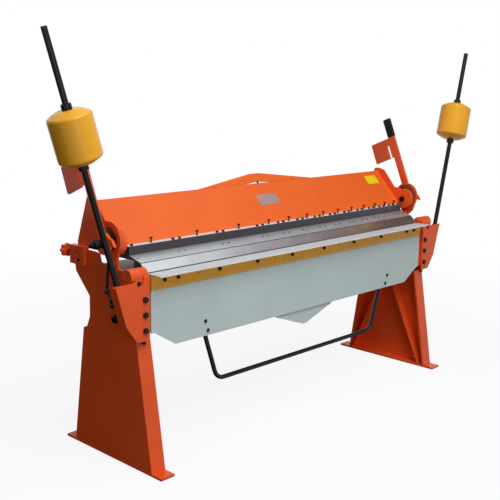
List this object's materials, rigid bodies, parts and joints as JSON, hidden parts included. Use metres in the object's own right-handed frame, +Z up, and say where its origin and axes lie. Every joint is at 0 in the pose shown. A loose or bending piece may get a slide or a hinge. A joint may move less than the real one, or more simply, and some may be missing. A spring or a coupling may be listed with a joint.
{
  "type": "segmented sheet metal brake",
  "caption": "Floor-standing sheet metal folder with a segmented clamping beam, a folding beam with counterweights, clamp levers and a lift bar.",
  "frame": {"origin": "on the floor, under the middle of the machine", "axes": "+X along the bed to the right from the front, +Y to the rear, +Z up"},
  "size_m": [2.988, 0.6848, 1.8515],
  "materials": {
    "orange_paint": "gloss enamel over steel plate",
    "ochre_paint": "satin enamel",
    "grey_paint": "satin enamel",
    "ground_steel": "ground and polished",
    "dark_steel": "blackened bar",
    "brown_steel": "oiled turned steel",
    "black_oxide": "black oxide",
    "black_rubber": "ribbed sleeve"
  },
  "bodies": {
    "root": {"side_frame_left": "orange_paint", "side_frame_right": "orange_paint", "base_plate_left": "orange_paint", "base_plate_right": "orange_paint", "stand_rib_left": "orange_paint", "stand_rib_right": "orange_paint", "bed_beam": "orange_paint", "bed_top_plate": "ground_steel", "hinge_pin_left": "ground_steel", "hinge_pin_right": "ground_steel"},
    "block_left": {"rear_block_left": "orange_paint"},
    "block_right": {"rear_block_right": "orange_paint"},
    "knob_left": {"setback_knob_left": "orange_paint"},
    "knob_right": {"setback_knob_right": "orange_paint"},
    "clamp_beam": {"clamp_front_plate": "orange_paint", "clamp_rear_plate": "orange_paint", "clamp_end_plate_left": "orange_paint", "clamp_end_plate_right": "orange_paint", "clamp_truss_plate": "orange_paint", "crowning_screw": "orange_paint", "finger_clamp_bar": "dark_steel", "beam_pivot_pin_left": "ground_steel", "beam_pivot_pin_right": "ground_steel", "finger_01": "ground_steel", "finger_02": "ground_steel", "finger_03": "ground_steel", "finger_04": "ground_steel", "finger_05": "ground_steel", "finger_06": "ground_steel", "finger_07": "ground_steel", "finger_08": "ground_steel", "finger_09": "ground_steel", "finger_10": "ground_steel", "finger_11": "ground_steel", "finger_12": "ground_steel", "finger_13": "ground_steel"},
    "lever_left": {"clamp_lever_left": "orange_paint", "lever_grip_left": "black_rubber", "eccentric_left": "brown_steel"},
    "lever_right": {"clamp_lever_right": "orange_paint", "lever_grip_right": "black_rubber", "eccentric_right": "brown_steel"},
    "link_left": {"clamp_link_left": "orange_paint"},
    "link_right": {"clamp_link_right": "orange_paint"},
    "folding_beam": {"folding_apron_plate": "grey_paint", "apron_truss_plate": "grey_paint", "folding_bar": "ochre_paint", "folding_blade": "ground_steel", "apron_bracket_left": "orange_paint", "apron_bracket_right": "orange_paint", "lift_bar": "black_oxide", "weight_rod_left": "black_oxide", "weight_rod_right": "black_oxide"},
    "weight_left": {"counterweight_left": "ochre_paint", "upper_collar_left": "black_oxide", "lower_collar_left": "black_oxide"},
    "weight_right": {"counterweight_right": "ochre_paint", "upper_collar_right": "black_oxide", "lower_collar_right": "black_oxide"},
    "angle_stop": {"angle_stop": "black_oxide"}
  },
  "joints": [
    {"name": "fold", "type": "hinge", "parent": "root", "child": "folding_beam", "pos_m": [0, -0.1789, 0.862], "axis": [-1, 0, 0], "range_deg": [0, 135]},
    {"name": "setback_left", "type": "slide", "parent": "root", "child": "block_left", "axis": [0, 1, 0], "range_m": [0, 0.012]},
    {"name": "setback_right", "type": "slide", "parent": "root", "child": "block_right", "axis": [0, 1, 0], "range_m": [0, 0.012]},
    {"name": "knob_left_turn", "type": "hinge", "parent": "block_left", "child": "knob_left", "pos_m": [-1.0893, 0.3031, 0.906], "axis": [0, 1, 0], "range_deg": [0, 2160]},
    {"name": "knob_right_turn", "type": "hinge", "parent": "block_right", "child": "knob_right", "pos_m": [1.0893, 0.3031, 0.906], "axis": [0, 1, 0], "range_deg": [0, 2160]},
    {"name": "clamp_open", "type": "hinge", "parent": "block_left", "child": "clamp_beam", "pos_m": [0, 0.2031, 0.905], "axis": [1, 0, 0], "range_deg": [-4, 0]},
    {"name": "lever_left_turn", "type": "hinge", "parent": "clamp_beam", "child": "lever_left", "pos_m": [-1.1375, -0.0449, 0.987], "axis": [-1, 0, 0], "range_deg": [-90, 0]},
    {"name": "lever_right_turn", "type": "hinge", "parent": "clamp_beam", "child": "lever_right", "pos_m": [1.1375, -0.0449, 0.987], "axis": [-1, 0, 0], "range_deg": [-90, 0]},
    {"name": "link_left_turn", "type": "hinge", "parent": "lever_left", "child": "link_left", "pos_m": [-1.104, -0.0449, 1.004], "axis": [1, 0, 0], "range_deg": [-78.8, 0]},
    {"name": "link_right_turn", "type": "hinge", "parent": "lever_right", "child": "link_right", "pos_m": [1.104, -0.0449, 1.004], "axis": [1, 0, 0], "range_deg": [-78.8, 0]},
    {"name": "weight_left_slide", "type": "slide", "parent": "folding_beam", "child": "weight_left", "axis": [-0.2776, 0.025, 0.9604], "range_m": [-0.22, 0.25]},
    {"name": "weight_right_slide", "type": "slide", "parent": "folding_beam", "child": "weight_right", "axis": [0.2776, 0.025, 0.9604], "range_m": [-0.22, 0.25]},
    {"name": "angle_stop_swing", "type": "hinge", "parent": "root", "child": "angle_stop", "pos_m": [-1.117, -0.0789, 0.724], "axis": [-1, 0, 0], "range_deg": [0, 30]}
  ],
  "couplings": [
    {"joint": "setback_right", "follows": "setback_left", "ratio": 1},
    {"joint": "knob_left_turn", "follows": "setback_left", "rad_per_m": 3141.6},
    {"joint": "knob_right_turn", "follows": "setback_left", "rad_per_m": 3141.6},
    {"joint": "clamp_open", "follows": "lever_left_turn", "ratio": 0.044444},
    {"joint": "lever_right_turn", "follows": "lever_left_turn", "ratio": 1},
    {"joint": "link_left_turn", "follows": "lever_left_turn", "ratio": 0.8755},
    {"joint": "link_right_turn", "follows": "lever_left_turn", "ratio": 0.8755}
  ]
}
